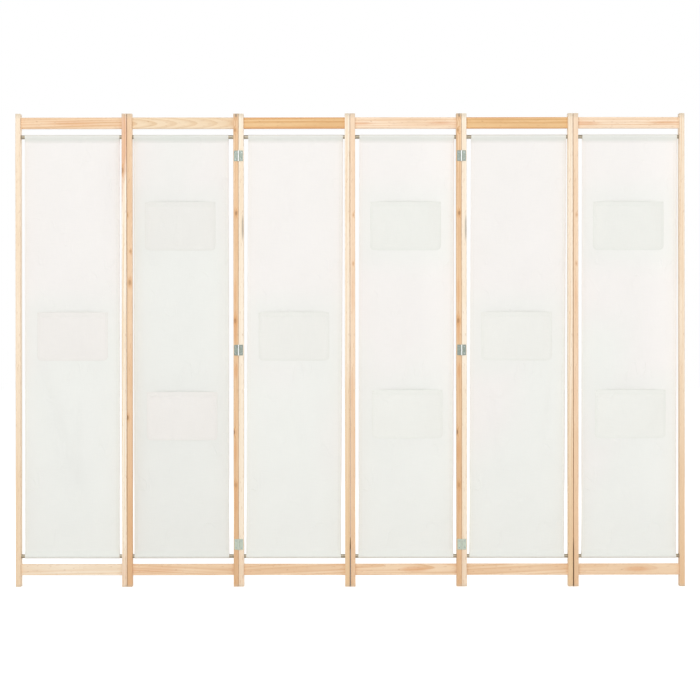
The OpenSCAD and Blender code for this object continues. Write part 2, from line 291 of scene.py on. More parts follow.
def post_pine(i, side, tone, pith, foot, knots=(), stains=()):
    """The pine of one post. Its grain is upright, and foot says how much darker it gets downwards."""
    name = f"panel_{i}_{side}_post"
    low, high = extent(own_points(name, i))
    tree = new_material(f"{name}_pine")
    x, y, z = tree.split(tree.own_coordinates(i, ((low.x + high.x) / 2, 0, 0)))
    half = (high.x - low.x) / 2
    colour = pine(tree, z, x, y, (half, high.y), srgb(tone[0]), srgb(tone[1]), pith, knots, stains,
                  i * 1.7 + (side == "right") * 0.9)
    colour = tree.mix(tree.span(z, FOOT_START, 0.0, 0.0, foot), colour, srgb(tone[1]))
    # A grey band at the top, and painted shade at the foot where the post meets the floor
    for away, reach, strength in ((tree.math("SUBTRACT", HEIGHT, z), GREY_TOP, 0.55), (z, GREY_FOOT, 0.5)):
        colour = tree.mix(tree.span(away, reach, 0.0, 0.0, strength), colour, GREY_ENDS)
    # End grain shows on the sawn ends
    pores = tree.noise(tree.vector(z, x, y), 2200.0, 1.0)
    colour = tree.mix(tree.span(tree.facing(2), 0.7, 0.9), colour,
                      tree.shade(colour, tree.span(pores, 0.35, 0.65, 0.72, 0.9)))
    joint = i if side == "right" else i - 1
    outward = tree.times(x, 1.0 if side == "right" else -1.0)
    if joint in BACK_HINGED:
        # Painted shade along the seam that opens on the front
        darker = tree.span(z, 0.2, 0.45, 0.0, 0.65) if joint == 1 else tree.span(z, 0.35, 0.6, 0.7, 0.25)
        seam = tree.times(tree.span(outward, half - 0.8 * MM, half - 0.1 * MM), darker,
                          tree.span(y, -8 * MM, -16 * MM, 0.35, 1.0))
        colour = tree.mix(seam, colour, SEAM_SHADE)
    if joint in SHADED_FEET:
        # Painted shade up the seam near the foot, where the gap between the posts widens
        foot_shade = tree.times(tree.span(outward, half - 2.5 * MM, half - 1 * MM),
                          tree.span(z, 0.19, 0.13, 0.0, 0.9 if joint == 3 else 0.72),
                          tree.span(y, -10 * MM, -17 * MM, 0.1, 1.0))
        colour = tree.mix(foot_shade, colour, SEAM_FOOT_SHADE)
    if joint in FRONT_HINGED and side == "left":
        # A dark sliver beside the inner arris
        away = tree.away(z, x, SLIVER, SLIVER_SIZE)
        dark = tree.times(tree.span(away, 1.5, 0.5), tree.span(y, -10 * MM, -17 * MM))
        colour = tree.shade(colour, tree.span(dark, 0.0, 1.0, 1.0, 0.57, "LINEAR"))
    dress(name, tree.finish(Base_Color=colour))


def rail_pine(i, tones, piths, stains):
    """The pine of both rails of a panel. Of tones, piths and stains the first is the lower rail's."""
    name = f"panel_{i}_rails"
    points = own_points(name, i)
    lower, upper = [extent([p for p in points if (p.z > HEIGHT / 2) == above]) for above in (False, True)]
    tree = new_material(f"{name}_pine")
    x, y, z = tree.split(tree.own_coordinates(i))
    above = tree.math("GREATER_THAN", z, HEIGHT / 2)
    middles = [(low.z + high.z) / 2 for low, high in (lower, upper)]
    across = tree.math("SUBTRACT", z, tree.span(above, 0.0, 1.0, *middles, "LINEAR"))
    early, late = (tree.mix(above, srgb(tones[0][k]), srgb(tones[1][k])) for k in (0, 1))
    pith = [tree.span(above, 0.0, 1.0, piths[0][k], piths[1][k], "LINEAR") for k in range(4)]
    # The two rails take their grain from places far apart in the same timber
    apart = 3.0
    along = tree.math("ADD", x, tree.times(above, apart))
    pith[0] = tree.math("SUBTRACT", pith[0], tree.times(above, pith[2], apart))
    pith[1] = tree.math("SUBTRACT", pith[1], tree.times(above, pith[3], apart))
    stains = [(a + apart * k, *rest) for k in (0, 1) for a, *rest in stains[k]]
    colour = pine(tree, along, across, y, ((lower[1].z - lower[0].z) / 2, lower[1].y), early, late, pith,
                  stains=stains, seed=i * 3.1)
    dress(name, tree.finish(Base_Color=colour))


# Posts, left and right: tone, pith as (across, deep, lean, dive), how much the foot darkens, knots, stains
LONG_STAINS = ((1.62, 0.0, 0.14, 0.012, 0.6), (1.47, -0.007, 0.1, 0.006, 0.35),
               (0.05, 0.0, 0.13, 0.03, 0.3))
SEAM_KNOTS = ((1.335, -0.009, -0.02, 0.0035, 0.35), (1.205, 0.004, -0.02, 0.003, 0.25),
              (1.093, 0.001, -0.02, 0.0055, 0.3), (0.608, -0.008, -0.02, 0.005, 0.75))
DARK_KNOTS = ((1.695, 0.001, -0.018, 0.005, 0.9), (1.64, -0.003, -0.02, 0.0035, 0.35),
              (1.342, 0.001, -0.02, 0.0045, 0.45), (0.955, -0.003, -0.02, 0.005, 0.35),
              (0.555, -0.0085, -0.02, 0.005, 0.75), (0.365, -0.001, -0.02, 0.005, 0.3))
RED_STREAKS = ((1.06, -0.002, 0.05, 0.006, 0.25), (0.93, -0.002, 0.06, 0.006, 0.35),
               (0.775, 0.0, 0.03, 0.007, 0.35), (0.49, -0.002, 0.05, 0.007, 0.3),
               (0.31, 0.0, 0.06, 0.007, 0.3))
PALE_KNOTS = ((1.335, 0.003, -0.02, 0.0025, 0.12), (1.16, 0.002, -0.02, 0.0025, 0.12))
PALE_STREAKS = ((1.05, 0.0, 0.08, 0.006, 0.18), (0.7, -0.002, 0.1, 0.006, 0.2))
WARM_FOOT = ((0.05, 0.0, 0.14, 0.03, 0.15),)
POSTS = {
    1: ((IVORY, (0.07, 0.03, 0.004, 0.0), 0.45),
        (CREAM, (-0.04, 0.06, 0.006, 0.0), 0.1, ((1.496, -0.007, -0.02, 0.006, 0.3),), LONG_STAINS)),
    2: ((SAND, (0.05, -0.05, -0.005, 0.0), 0.75, SEAM_KNOTS),
        (TAN, (-0.03, -0.05, 0.008, 0.0), 0.35, DARK_KNOTS, RED_STREAKS)),
    3: ((CREAM, (0.09, 0.01, 0.002, 0.0), 0.1, (), WARM_FOOT),
        (IVORY, (0.02, 0.06, 0.006, 0.0), 0.9)),
    4: ((PEACH, (-0.05, -0.03, 0.007, 0.0), 0.6, PALE_KNOTS, PALE_STREAKS),
        (TAN, (-0.03, -0.05, 0.008, 0.0), 0.35, DARK_KNOTS, RED_STREAKS)),
    6: ((PEACH, (-0.05, -0.03, 0.007, 0.0), 0.6, PALE_KNOTS, PALE_STREAKS),
        (OAT, (0.05, 0.04, -0.004, 0.0), 0.8)),
}
POSTS[5] = POSTS[3]
# Rails, lower and upper: tone, pith, stains of resin
DARK_EDGES = ((0.0, 0.021, 0.3, 0.008, 0.4), (0.0, -0.021, 0.3, 0.008, 0.4))
MIDDLE_STREAKS = ((-0.16, -0.002, 0.06, 0.008, 0.4), (0.13, 0.0, 0.07, 0.008, 0.4))
RAILS = {
    1: ((IVORY, (0.01, 0.05, 0.03, 0.0), ()),
        (SAND, (-0.03, 0.06, 0.02, 0.0), ((0.0, 0.0, 0.1, 0.012, 0.25),))),
    2: ((SAND, (0.02, 0.05, -0.05, 0.0), ((-0.1, 0.0, 0.1, 0.014, 0.25),)),
        (WHEAT, (0.0, 0.035, 0.005, 0.05), ())),
    3: ((SAND, (0.0, 0.04, 0.06, 0.0), ()), (HONEY, (-0.02, 0.07, 0.01, 0.0), DARK_EDGES)),
    4: ((SAND, (0.01, 0.05, -0.05, 0.02), ((0.03, 0.002, 0.05, 0.011, 0.35),)),
        (PEACH, (0.03, 0.06, 0.01, 0.0), MIDDLE_STREAKS)),
}
RAILS[5], RAILS[6] = RAILS[3], RAILS[4]
for i in PANELS:
    for side, post in zip(("left", "right"), POSTS[i]):
        post_pine(i, side, *post)
    rail_pine(i, *zip(*RAILS[i]))


# Metal

BARREL_R = 2.5 * MM  # of the knuckles of a hinge
DULLED, BARREL_HIGHLIGHT = map(srgb, ("B3BCAE", "FBFDFB"))  # zinc low down, and the painted highlight where the barrel stands out


def drawn_steel():
    """Bare drawn tube, dull grey-brown, with faint marks along it."""
    tree = new_material("drawn_steel")
    at = tree.own_coordinates()
    x, y, z = tree.split(at)
    marks = tree.noise(tree.vector(tree.times(x, 9.0), tree.times(y, 900.0), tree.times(z, 900.0)), 1.0, 3.0)
    cloud = tree.noise(at, 35.0, 3.0)
    colour = tree.mix(tree.span(marks, 0.3, 0.7), srgb("938A79"), srgb("A79F8E"))
    colour = tree.shade(colour, tree.span(cloud, 0.3, 0.7, 0.88, 1.04))
    tree.bump(marks, 0.03 * MM)
    return tree.finish(Base_Color=colour, Metallic=1.0, Roughness=tree.span(cloud, 0.3, 0.7, 0.34, 0.46))


def zinc(name, low, high, mark, rough, pin=None):
    """Zinc plating: a pale skin, mottled and lightly rubbed, with a painted highlight on the barrel round a
    pin's axis.
    """
    tree = new_material(name)
    at = tree.own_coordinates()
    spangle = tree.add("ShaderNodeTexVoronoi", {"Vector": at, "Scale": 900.0}).outputs["Distance"]
    cloud = tree.noise(at, 160.0, 3.0)
    rubbed = tree.vector(*(tree.times(c, f) for c, f in zip(tree.split(at), (1500.0, 1500.0, 90.0))))
    rubs = tree.noise(rubbed, 1.0, 2.0)
    colour = tree.mix(tree.span(cloud, 0.3, 0.7), srgb(low), srgb(high))
    colour = tree.shade(colour, tree.span(spangle, 0.0, 0.6, 1.03, 0.95))
    colour = tree.mix(tree.span(rubs, 0.55, 0.75, 0.0, 0.4), colour, srgb(mark))
    metallic = 0.85
    if pin is not None:
        x, y, z = tree.split(at)
        # The lowest hinges have gone pale and dull
        colour = tree.mix(tree.span(z, 0.3, 0.7), DULLED, colour)
        off = [tree.math("SUBTRACT", c, p) for c, p in ((x, pin.x), (y, pin.y))]
        away = tree.math("SQRT", tree.math("ADD", tree.times(off[0], off[0]), tree.times(off[1], off[1])))
        # Painted highlight on the barrel where it stands out most
        barrel = tree.times(tree.span(away, BARREL_R + 0.25 * MM, BARREL_R + 0.05 * MM),
                            tree.span(tree.math("ABSOLUTE", off[0]), 2.2 * MM, 1.2 * MM),
                            tree.span(z, 0.3, 0.7, 0.2, 1.0))
        colour = tree.mix(barrel, colour, BARREL_HIGHLIGHT)
        metallic = tree.span(barrel, 0.0, 1.0, 0.85, 0.35)
    tree.bump(rubs, 0.015 * MM)
    return tree.finish(Base_Color=colour, Metallic=metallic,
                       Roughness=tree.span(cloud, 0.3, 0.7, rough - 0.05, rough + 0.07))


STEEL = drawn_steel()
PIN = zinc("pin_steel", "C5CBCB", "D9DDDC", "ECEDEC", 0.26)
SCREW = zinc("screw_zinc", "9AA3A1", "B2B9B7", "D0D4D2", 0.3)
for i in PANELS:
    dress(f"panel_{i}_rods", STEEL)
    dress(f"panel_{i}_hinge_screws", SCREW)
    if i < len(PANELS):
        joint = f"hinge_{i}_{i + 1}"
        pins = sum(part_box(f"{joint}_pins"), Vector()) / 2
        plate = zinc(f"{joint}_zinc", "858E85", "959E95", "A9B5AC", 0.36, pins)
        dress(f"{joint}_left_leaves", plate)
        dress(f"{joint}_right_leaves", plate)
        dress(f"{joint}_pins", PIN)


# Cloth

CLOTH = 0.6 * MM  # thickness of one layer
YARN_PITCH = 0.9 * MM
HEM = 0.55 * MM  # what the turned layer adds in a hem
HEM_WIDTH = 13 * MM
ROD_R = 7 * MM
SLEEVE_R = ROD_R + 0.85 * MM  # of the middle of the cloth round a rod
STITCH_DROP = 21 * MM  # from a rod's axis to the stitch line of its sleeve
TAB_GAP = 2.1 * MM  # from the infill to the end of the sleeve that is sewn to it
TAB = 7 * MM  # length of that end past the stitch line
SEAM_ROWS = (2 * MM, 7.5 * MM)  # rows of stitches from a pocket's outline
MOUTH_ROW = 14 * MM  # from the mouth down to the stitches of its hem
STITCH, STITCH_PITCH = 2.7 * MM, 4.0 * MM
THREAD_R = 0.24 * MM


def woven(name, own):
    """Plain weave with slubs. The mesh's tint says how each place differs from the cloth's own colour,
    painted light and shade included.
    """
    tree = new_material(name)
    at = tree.own_coordinates()
    x, y, z = tree.split(at)
    warp, weft = (tree.math("SINE", tree.times(c, 2 * math.pi / YARN_PITCH)) for c in (x, z))
    slubs = [tree.noise(tree.vector(tree.times(x, a), y, tree.times(z, b)), 1.0, 3.0)
             for a, b in ((900.0, 22.0), (22.0, 900.0))]
    cloud = tree.noise(at, 7.0, 4.0)
    tint = tree.add("ShaderNodeAttribute", attribute_name="tint").outputs["Vector"]
    colour = tree.mix(1.0, srgb(own), tint, "MULTIPLY")
    for slub in slubs:
        colour = tree.shade(colour, tree.span(slub, 0.3, 0.7, 0.99, 1.006))
    colour = tree.shade(colour, tree.span(cloud, 0.3, 0.7, 0.991, 1.005))
    # Faint creases stand up in thin lines here and there
    line = tree.math("SUBTRACT", tree.noise(tree.vector(x, y, tree.times(z, 0.6)), 17.0, 1.0), 0.5)
    crease = tree.times(tree.span(tree.math("ABSOLUTE", line), 0.03, 0.0),
                        tree.span(tree.noise(at, 11.0, 1.0), 0.52, 0.66))
    height = tree.math("ADD", tree.times(warp, weft, 0.3), tree.math("ADD", *slubs))
    tree.bump(tree.math("ADD", height, tree.times(crease, 9.0)), 0.06 * MM)
    return tree.finish(Base_Color=colour, Roughness=tree.span(cloud, 0.3, 0.7, 0.82, 0.92),
                       Specular_IOR_Level=0.2, Sheen_Weight=0.12, Sheen_Roughness=0.5)


INFILL = woven("infill_cloth", "F3F0ED")
POCKET = woven("pocket_cloth", "F1EEEA")
FRESH = Vector((1, 1, 1))
COOL = Vector((0.973, 1.011, 0.996))  # how much cooler the colour gets where the change is strongest
LAYER_SHADE = Vector((0.88, 0.915, 0.89))  # painted shade where a second layer behind keeps light from coming through


def tinted(cool, layer_shade, light=1.0):
    """How a place differs from the cloth's own colour, as three factors: a cooler colour, painted shade
    where layers lie double, and painted light and shade.
    """
    return Vector([a * b * light for a, b in zip(FRESH.lerp(COOL, cool), FRESH.lerp(LAYER_SHADE, layer_shade))])


def smoothstep(value, low, high):
    part = min(max((value - low) / (high - low), 0.0), 1.0)
    return part * part * (3 - 2 * part)


class Infill:
    """Where the cloth of panel i is, how it ripples, and how its colour and its painted light and shade
    change from place to place.
    """

    def __init__(self, i, pockets, skew, cooler, light, creases=()):
        self.i, self.pockets, self.creases = i, pockets, creases
        self.skew, self.cooler, self.sides = skew * MM, cooler, light
        low, high = extent(own_points(f"panel_{i}_fabric", i))
        self.middle, self.half = (low.x + high.x) / 2, (high.x - low.x) / 2
        low, high = extent(own_points(f"panel_{i}_rods", i))
        self.rods = (low.z + ROD_R, high.z - ROD_R)

    def shift(self, z):
        """Sideways place of the cloth's middle at height z. It hangs a little askew."""
        return self.middle + self.skew * (0.5 - z / HEIGHT)

    def cool(self, x, z):
        """How much cooler the cloth's colour is, from 0 to 1. It shows most towards the foot."""
        patches = noise.noise(Vector((x * 4 + 9 * self.i, z * 2.5, 1.7 * self.i)))
        cool = smoothstep(1 - z / HEIGHT + 0.35 * patches + self.cooler, 0.36, 0.72)
        return max(cool, 0.7 * self.by_pocket(x - self.shift(z), z))

    def by_pocket(self, x, z):
        """How near a place is to a pocket, from 0 to 1."""
        gaps = [Vector((max(low.x - x, x - high.x, 0), max(low.z - z, z - high.z, 0))).length
                for low, high in self.pockets]
        return smoothstep(min(gaps), 0.12, 0.0)

    def light(self, x, z):
        """Painted light and shade on the cloth, as a factor on its own colour, at x from its middle. It
        changes slowly from the left to the right, and it paints shade near the floor, round the pockets and
        along creases."""
        left, right = self.sides
        made = 1 + left
        made += (right - left) * smoothstep(x / self.half, -0.2, 0.95) * smoothstep(z / HEIGHT, 0.0, 0.4)
        made -= 0.012 * smoothstep(z, 0.9, 0.0)
        made -= 0.012 * self.by_pocket(x, z)
        for ends, height, width, dull in self.creases:
            made -= dull * self.on_crease(x, z, ends, 2 * width)
        return made

    def on_crease(self, x, z, ends, width):
        """How near a place is to the crease between two points, from 0 to 1."""
        (x0, z0), (x1, z1) = ends
        line, off = Vector((x1 - x0, z1 - z0)), Vector((x - x0, z - z0))
        along = off.dot(line) / line.length_squared
        away = abs(off.x * line.y - off.y * line.x) / line.length
        fade = smoothstep(along, -0.1, 0.2) * smoothstep(1 - along, -0.1, 0.2)
        return math.exp(-(away / width) ** 2) * fade

    def ripple(self, x, z):
        """How far the infill stands behind its own plane."""
        inside = min(z - self.rods[0] - STITCH_DROP, self.rods[1] - STITCH_DROP - z)
        i = self.i
        y = (1.9 * noise.noise(Vector((x * 7.5 + 11 * i, z * 0.9, 3 * i)))
             + 0.6 * noise.noise(Vector((x * 24, z * 4 + 5 * i, i)))
             + 0.10 * noise.noise(Vector((x * 70, z * 30, 3 * i))))
        for ends, height, width, dull in self.creases:
            y += height * self.on_crease(x, z, ends, width)
        y *= smoothstep(inside, 0.0, 0.09)
        # Small gathers along the stitch lines of the sleeves
        y += 0.35 * noise.noise(Vector((x * 90, i, 0.3))) * math.exp(-(inside / (9 * MM)) ** 2)
        return y * MM


def sleeve_path(top):
    """Middle of the cloth in a sleeve, as (y, z) from its rod's axis, from the infill's stitch line round
    the rod to the end of the tab. It is drawn for the upper rod, and turned over for the lower one."""
    def touch(y, side):
        distance = math.hypot(y, STITCH_DROP)
        return math.atan2(-STITCH_DROP, y) + side * math.acos(SLEEVE_R / distance)

    first, last = touch(0.0, -1) + 2 * math.pi, touch(TAB_GAP, 1)
    start = Vector((SLEEVE_R * math.cos(first), SLEEVE_R * math.sin(first)))
    end = Vector((SLEEVE_R * math.cos(last), SLEEVE_R * math.sin(last)))
    points = [start * k / 6 + Vector((0, -STITCH_DROP)) * (1 - k / 6) for k in range(1, 6)]
    turns = 22
    for k in range(turns + 1):
        angle = first + (last - first) * k / turns
        points.append(Vector((SLEEVE_R * math.cos(angle), SLEEVE_R * math.sin(angle))))
    seam = Vector((TAB_GAP, -STITCH_DROP))
    points += [end * (1 - k / 6) + seam * k / 6 for k in range(1, 7)]
    points += [seam + Vector((0.2 * MM * k, -TAB * k / 3)) for k in range(1, 4)]
    return points if top else [Vector((p.x, -p.y)) for p in points]


def shell(name, outer, inner, tints):
    """A closed thin piece between two grids of points, with a rounded rim."""
    rows, columns = len(outer), len(outer[0])
    rim = ([(0, c) for c in range(columns)] + [(r, columns - 1) for r in range(1, rows)]
           + [(rows - 1, c) for c in range(columns - 2, -1, -1)] + [(r, 0) for r in range(rows - 2, 0, -1)])
    bm = bmesh.new()
    layer = bm.verts.layers.float_vector.new("tint")
    grids = []
    for points in (outer, inner):
        grid = [[bm.verts.new(p) for p in row] for row in points]
        grids.append(grid)
        for row, values in zip(grid, tints):
            for vertex, value in zip(row, values):
                vertex[layer] = value
    edge = []
    for r, c in rim:
        middle = (outer[r][c] + inner[r][c]) / 2
        r2, c2 = min(max(r, 1), rows - 2), min(max(c, 1), columns - 2)
        out = middle - (outer[r2][c2] + inner[r2][c2]) / 2
        thick = (outer[r][c] - inner[r][c]).length
        vertex = bm.verts.new(middle + out.normalized() * thick * 0.45)
        vertex[layer] = tints[r][c]
        edge.append(vertex)
    for grid, flip in zip(grids, (1, -1)):
        for r in range(rows - 1):
            for c in range(columns - 1):
                bm.faces.new((grid[r][c], grid[r][c + 1], grid[r + 1][c + 1], grid[r + 1][c])[::flip])
    for k, (r, c) in enumerate(rim):
        r2, c2 = rim[(k + 1) % len(rim)]
        for grid, flip in zip(grids, (-1, 1)):
            bm.faces.new((grid[r][c], grid[r2][c2], edge[(k + 1) % len(rim)], edge[k])[::flip])
    bmesh.ops.recalc_face_normals(bm, faces=bm.faces)
    return finished(name, bm)


def finished(name, bm):
    mesh = bpy.data.meshes.new(name)
    bm.to_mesh(mesh)
    bm.free()
    mesh.shade_smooth()
    ob = bpy.data.objects.new(name, mesh)
    scene.collection.objects.link(ob)
    return ob


def columns_across(half, hem, steps):
    """Places across a cloth of a half width, with close lines at the inner edges of its side hems."""
    side = [half, half - 1.5 * MM, half - hem / 2, half - hem + 1 * MM, half - hem - 1 * MM]
    inside = [(half - hem - 1 * MM) * (1 - 2 * k / steps) for k in range(1, steps)]
    return [-x for x in side + inside] + side[::-1]


def infill_cloth(infill):
    """One sheet with a sleeve round each rod and a turned hem down each side. Returns it with the length
    it is cut to."""
    low_rod, high_rod = infill.rods
    seams = (low_rod + STITCH_DROP, high_rod - STITCH_DROP)
    lower = [Vector((p.x, p.y + low_rod)) for p in sleeve_path(False)][::-1]
    upper = [Vector((p.x, p.y + high_rod)) for p in sleeve_path(True)]
    steps = 190
    near = [seams[0] + 3 * MM * k for k in range(4)]
    far = [seams[1] - 3 * MM * k for k in range(3, -1, -1)]
    middle = [near[-1] + (far[0] - near[-1]) * k / steps for k in range(1, steps)]
    infill_zs = near + middle + far
    path = lower + [Vector((0, z)) for z in infill_zs] + upper
    across = columns_across(infill.half, HEM_WIDTH, 60)
    # The upper sleeve gets the most painted shade, but not where its layers part from each other
    layer_shade = [0.3 if p.y < HEIGHT / 2 else smoothstep(p.y, seams[1] - 1 * MM, seams[1] + 12 * MM)
              for p in path]
    outer, inner, tints = [], [], []
    for r, p in enumerate(path):
        ahead = (path[min(r + 1, len(path) - 1)] - path[max(r - 1, 0)]).normalized()
        normal = Vector((-ahead.y, ahead.x))
        flat = len(lower) <= r < len(lower) + len(infill_zs)
        row = ([], [], [])
        for x in across:
            hem = smoothstep(abs(x), infill.half - HEM_WIDTH - 1 * MM, infill.half - HEM_WIDTH + 1 * MM)
            here = x + infill.shift(p.y)
            y = p.x + (infill.ripple(here, p.y) if flat else 0.0)
            base = Vector((here, y, p.y))
            out = Vector((0, normal.x, normal.y))
            row[0].append(base + out * CLOTH / 2)
            row[1].append(base - out * (CLOTH / 2 + HEM * hem))
            # The tint holds painted shade where layers lie double, and the cloth's painted light and shade
            row[2].append(tinted(infill.cool(here, p.y), max(0.06 * hem, 0.0 if flat else layer_shade[r]),
                                 infill.light(x, p.y)))
        for rows, made in zip((outer, inner, tints), row):
            rows.append(made)
    length = sum((a - b).length for a, b in zip(path, path[1:]))
    return shell(f"panel_{infill.i}_cloth", outer, inner, tints), length


class Pocket:
    """A patch pocket's place on its infill, from its CAD solid, and the form of its outer face."""

    FOLD = 9 * MM  # width of the turned edge that is sewn down
    MOUTH_HEM = 16 * MM
    CORNER = 16 * MM
    BULGE = 4.6 * MM  # at the middle of the mouth
    LAYER, TURN = 0.45 * MM, 0.35 * MM  # thickness of its cloth, and what a turned layer adds
    GROOVE = 0.15 * MM

    def __init__(self, infill, low, high, seed, cool, light, creases=()):
        self.infill, self.seed, self.cool, self.light, self.creases = infill, seed, cool, light, creases
        self.x, self.z = (low.x + high.x) / 2, low.z
        self.half, self.high = (high.x - low.x) / 2, high.z - low.z

    def half_at(self, up):
        """Half the width at a height above the foot, drawn in round the lower corners."""
        part = 1 - min(up / self.CORNER, 1)
        return self.half - self.CORNER * (1 - math.sqrt(1 - part * part))

    def inset(self, across, up):
        """How far a place is from the sewn outline."""
        corner = Vector((abs(across) - (self.half - self.CORNER), self.CORNER - up))
        if corner.x > 0 and corner.y > 0:
            return self.CORNER - corner.length
        return min(self.half - abs(across), up)

    def lift(self, across, up):
        """How far the lining stands off the infill."""
        wide = min(abs(across) / (self.half - self.FOLD), 1)
        tall = max(up - self.FOLD, 0) / (self.high - self.FOLD)
        free = (1 - wide ** 4) * (1 - (1 - tall) ** 3)
        x, z, k = across, up, self.seed
        folds = (0.7 * noise.noise(Vector((x * 26 + k, z * 9, k)))
                 + 0.3 * noise.noise(Vector((x * 60, z * 40, k))))
        for x0, height, width in self.creases:
            folds += height * math.exp(-((x - x0) / width) ** 2)
        slack = smoothstep(self.inset(across, up), self.FOLD, self.FOLD + 30 * MM)
        return max(self.BULGE * free + folds * MM * slack, 0.0)

    def turned(self, across, up):
        """1 where the cloth is turned under, and in the hem of the mouth. Elsewhere 0."""
        side = smoothstep(self.inset(across, up), self.FOLD + 0.8 * MM, self.FOLD - 0.8 * MM)
        return max(side, smoothstep(self.high - up, self.MOUTH_HEM + 0.8 * MM, self.MOUTH_HEM - 0.8 * MM))

    def front(self, across, up):
        """The outer face, in the panel's own axes."""
        x, z = self.x + across, self.z + up
        behind = self.infill.ripple(x, z) - CLOTH / 2
        y = behind - self.lift(across, up) - self.LAYER - self.TURN * self.turned(across, up)
        # The rows of stitches draw the cloth in
        for row in SEAM_ROWS:
            y += self.GROOVE * math.exp(-((self.inset(across, up) - row) / (1.0 * MM)) ** 2)
        y += self.GROOVE * math.exp(-((self.high - up - MOUTH_ROW) / (1.2 * MM)) ** 2)
        return Vector((x, y, z))


def pocket_cloth(name, pocket):
    """A pocket's cloth as a closed thin piece, sewn down at its sides and foot and open at its mouth."""
    f, h = pocket.FOLD, pocket.high
    side = [pocket.half - d * MM for d in (0, 1.2, 2, 3, 6.5, 7.5)]
    side += [pocket.half - f + d * MM for d in (0.8, -0.8)]
    inner = side[-1]
    steps = 50
    columns = [-x for x in side] + [inner * (2 * k / steps - 1) for k in range(1, steps)] + side[::-1]
    shares = [x / pocket.half for x in columns]
    ups = [d * MM for d in (0, 0.6, 1.4, 2, 2.8, 4.5, 6.5, 7.5, 8.2, 9.8, 13, 16, 20, 24)]
    top = [h - d * MM for d in (16.8, 15.2, 14.6, 13.4, 8, 4, 1, 0)]
    steps = 16
    ups += [ups[-1] + (top[0] - ups[-1]) * k / steps for k in range(1, steps)] + top
    outer, back, tints = [], [], []
    for up in ups:
        places = [share * pocket.half_at(up) for share in shares]
        turned = [pocket.turned(x, up) for x in places]
        outer.append([pocket.front(x, up) for x in places])
        back.append([p + Vector((0, pocket.LAYER + pocket.TURN * layer - 0.02 * MM, 0))
                     for p, layer in zip(outer[-1], turned)])
        # Painted shade on the turned layers, and painted light and shade over the whole pocket
        tints.append([tinted(pocket.cool, 0.1 * layer, 1 + pocket.light) for layer in turned])
    return shell(name, outer, back, tints)


class Stitches:
    """Rows of thread on a surface, gathered in one mesh."""

    def __init__(self):
        self.points, self.faces = [], []

    def add(self, at, along, out):
        side = along.cross(out)
        first = len(self.points)
        self.points.append(at - along * STITCH / 2 - out * THREAD_R / 2)
        for end in (-0.3, 0.3):
            ring = at + along * STITCH * end
            self.points += [ring + side * THREAD_R, ring + out * THREAD_R, ring - side * THREAD_R,
                            ring - out * THREAD_R]
        self.points.append(at + along * STITCH / 2 - out * THREAD_R / 2)
        for k in range(4):
            a, b = first + 1 + k, first + 1 + (k + 1) % 4
            self.faces += [(first, b, a), (a, b, b + 4, a + 4), (first + 9, a + 4, b + 4)]

    def row(self, line, surface, back=False):
        """Stitches along a line of places, laid on surface(place)."""
        lengths = [0.0]
        for a, b in zip(line, line[1:]):
            lengths.append(lengths[-1] + (b - a).length)
        count = max(int(lengths[-1] / STITCH_PITCH), 1)
        k = 0
        for n in range(count):
            want = lengths[-1] * (n + 0.5) / count
            while lengths[k + 1] < want:
                k += 1
            step = (line[k + 1] - line[k]).normalized()
            at = line[k] + step * (want - lengths[k])
            ahead = surface(at + step * MM) - surface(at - step * MM)
            level = Vector((-step.y, step.x))
            beside = surface(at + level * MM) - surface(at - level * MM)
            out = beside.cross(ahead).normalized()
            if (out.y > 0) != back:
                out = -out
            self.add(surface(at), ahead.normalized(), out)

    def piece(self, name):
        mesh = bpy.data.meshes.new(name)
        mesh.from_pydata(self.points, [], self.faces)
        mesh.shade_smooth()
        ob = bpy.data.objects.new(name, mesh)
        scene.collection.objects.link(ob)
        return ob


def outline(pocket, inset):
    """A pocket's sides and foot, a distance inside its outline, as (across, up)."""
    side, r = pocket.half - inset, pocket.CORNER - inset
    corner = Vector((pocket.half - pocket.CORNER, pocket.CORNER))
    half = [Vector((side, pocket.high - 1.5 * MM)), Vector((side, (pocket.high + pocket.CORNER) / 2))]
    half += [corner + r * Vector((math.cos(a), -math.sin(a))) for a in (k * math.pi / 16 for k in range(9))]
    half.append(Vector((0, inset)))
    return half + [Vector((-p.x, p.y)) for p in half[-2::-1]]


def between(a, b, steps=40):
    return [Vector(a).lerp(Vector(b), k / steps) for k in range(steps + 1)]


def sew_infill(stitches, infill):
    """The stitches of an infill's sleeves and side hems, on its front and its back."""
    seams = (infill.rods[0] + STITCH_DROP, infill.rods[1] - STITCH_DROP)
    for back in (False, True):
        def surface(p, sleeve=False):
            x = p.x + infill.shift(p.y)
            behind = CLOTH / 2 + (HEM if not sleeve else TAB_GAP) if back else -CLOTH / 2
            return Vector((x, infill.ripple(x, p.y) + behind, p.y))

        for z in seams:
            ends = infill.half - 1.5 * MM
            stitches.row(between((-ends, z), (ends, z)), lambda p: surface(p, True), back)
        for x in (-1, 1):
            x *= infill.half - HEM_WIDTH + 2 * MM
            stitches.row(between((x, seams[0] + 4 * MM), (x, seams[1] - 4 * MM), 200), surface, back)


